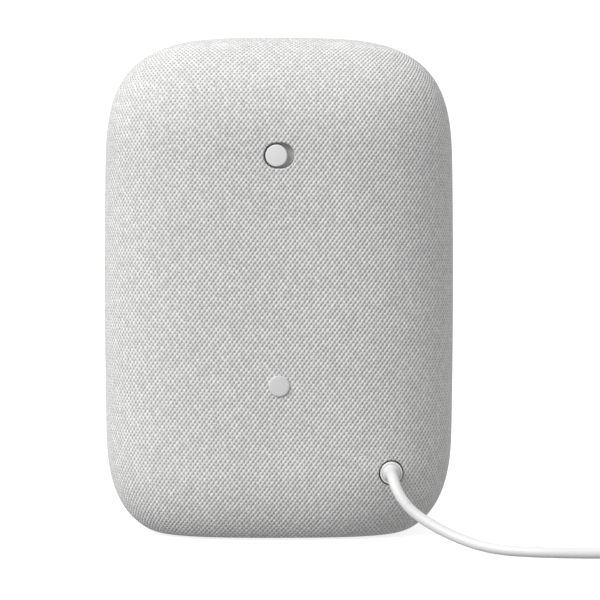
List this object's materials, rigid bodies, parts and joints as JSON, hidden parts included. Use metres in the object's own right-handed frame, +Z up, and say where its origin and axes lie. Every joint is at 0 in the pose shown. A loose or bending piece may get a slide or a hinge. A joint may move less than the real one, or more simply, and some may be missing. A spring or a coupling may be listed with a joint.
{
  "type": "smart speaker",
  "caption": "Upright fabric-covered smart speaker with a mute slider and power inlet at the back, two drivers inside, and its power lead.",
  "frame": {"origin": "centre of the body's box, on the surface that it stands on", "axes": "+Z up, -Y out of the front, +Y out of the back with the mute slider and the power inlet"},
  "size_m": [0.232, 0.1164, 0.175],
  "materials": {
    "knit_fabric": "light grey knitted polyester, matt",
    "housing_plastic": "fine matt moulding",
    "grey_plastic": "satin moulding",
    "black_plastic": "satin moulding",
    "knob_plastic": "smooth satin moulding",
    "badge_plastic": "smooth, slightly glossy",
    "clear_plastic": "frosted diffuser",
    "white_plastic": "smooth satin moulding",
    "soft_rubber": "matt silicone",
    "black_rubber": "matt rubber",
    "cord_jacket": "smooth satin jacket",
    "paper_pulp": "pressed pulp",
    "foam": "open-cell foam",
    "steel": "zinc plated",
    "alloy": "anodised",
    "ferrite": "sintered",
    "copper": "enamelled winding",
    "circuit_board": "solder mask",
    "gold_trace": "plated trace"
  },
  "bodies": {
    "speaker": {"fabric_cover": "knit_fabric", "front_housing": "housing_plastic", "rear_housing": "housing_plastic", "housing_gasket": "black_rubber", "housing_screws": "steel", "base_plate": "housing_plastic", "base_screws": "steel", "foot_pad": "soft_rubber", "emblem_badge": "badge_plastic", "switch_bezel": "grey_plastic", "slide_switch_body": "steel", "switch_board": "circuit_board", "baffle": "grey_plastic", "baffle_screws": "steel", "woofer_basket": "black_plastic", "woofer_gasket": "black_rubber", "woofer_surround": "black_rubber", "woofer_spider": "gold_trace", "woofer_top_plate": "steel", "woofer_magnet": "ferrite", "woofer_yoke": "steel", "woofer_screws": "steel", "tweeter_frame": "black_plastic", "tweeter_surround": "black_rubber", "tweeter_magnet": "steel", "tweeter_screws": "steel", "main_board": "circuit_board", "board_standoffs": "housing_plastic", "board_screws": "steel", "shield_cans": "steel", "thermal_pad": "soft_rubber", "heat_sink": "alloy", "capacitors": "black_plastic", "inductors": "ferrite", "mic_board": "circuit_board", "microphones": "steel", "mic_gaskets": "black_rubber", "touch_board": "gold_trace", "led_board": "circuit_board", "leds": "clear_plastic", "light_guides": "clear_plastic", "antennas": "gold_trace", "damping_foam": "foam", "inlet_board": "circuit_board", "dc_inlet": "black_plastic", "inner_wires": "black_rubber"},
    "mute_slider": {"mute_knob": "knob_plastic", "switch_lever": "black_plastic"},
    "woofer_diaphragm": {"woofer_cone": "paper_pulp", "woofer_dust_cap": "paper_pulp", "woofer_voice_coil": "copper"},
    "tweeter_diaphragm": {"tweeter_dome": "alloy", "tweeter_voice_coil": "copper"},
    "power_lead": {"dc_plug": "white_plastic", "strain_relief": "cord_jacket", "cord_lead": "cord_jacket", "cord_coil": "cord_jacket", "cord_tail": "cord_jacket", "cord_tie": "black_rubber", "wall_adapter": "white_plastic"}
  },
  "joints": [
    {"name": "mute_slide", "type": "slide", "parent": "speaker", "child": "mute_slider", "axis": [-1, 0, 0], "range_m": [0, 0.0018]},
    {"name": "woofer_stroke", "type": "slide", "parent": "speaker", "child": "woofer_diaphragm", "axis": [0, -1, 0], "range_m": [-0.0025, 0.0025], "stiffness_N_per_m": 1500, "deforming": ["woofer_surround", "woofer_spider"]},
    {"name": "tweeter_stroke", "type": "slide", "parent": "speaker", "child": "tweeter_diaphragm", "axis": [0, -1, 0], "range_m": [-0.0003, 0.0003], "stiffness_N_per_m": 3000, "deforming": ["tweeter_surround"]},
    {"name": "power_plug_pull", "type": "slide", "parent": "speaker", "child": "power_lead", "axis": [0, 1, 0], "range_m": [0, 0.016]}
  ]
}
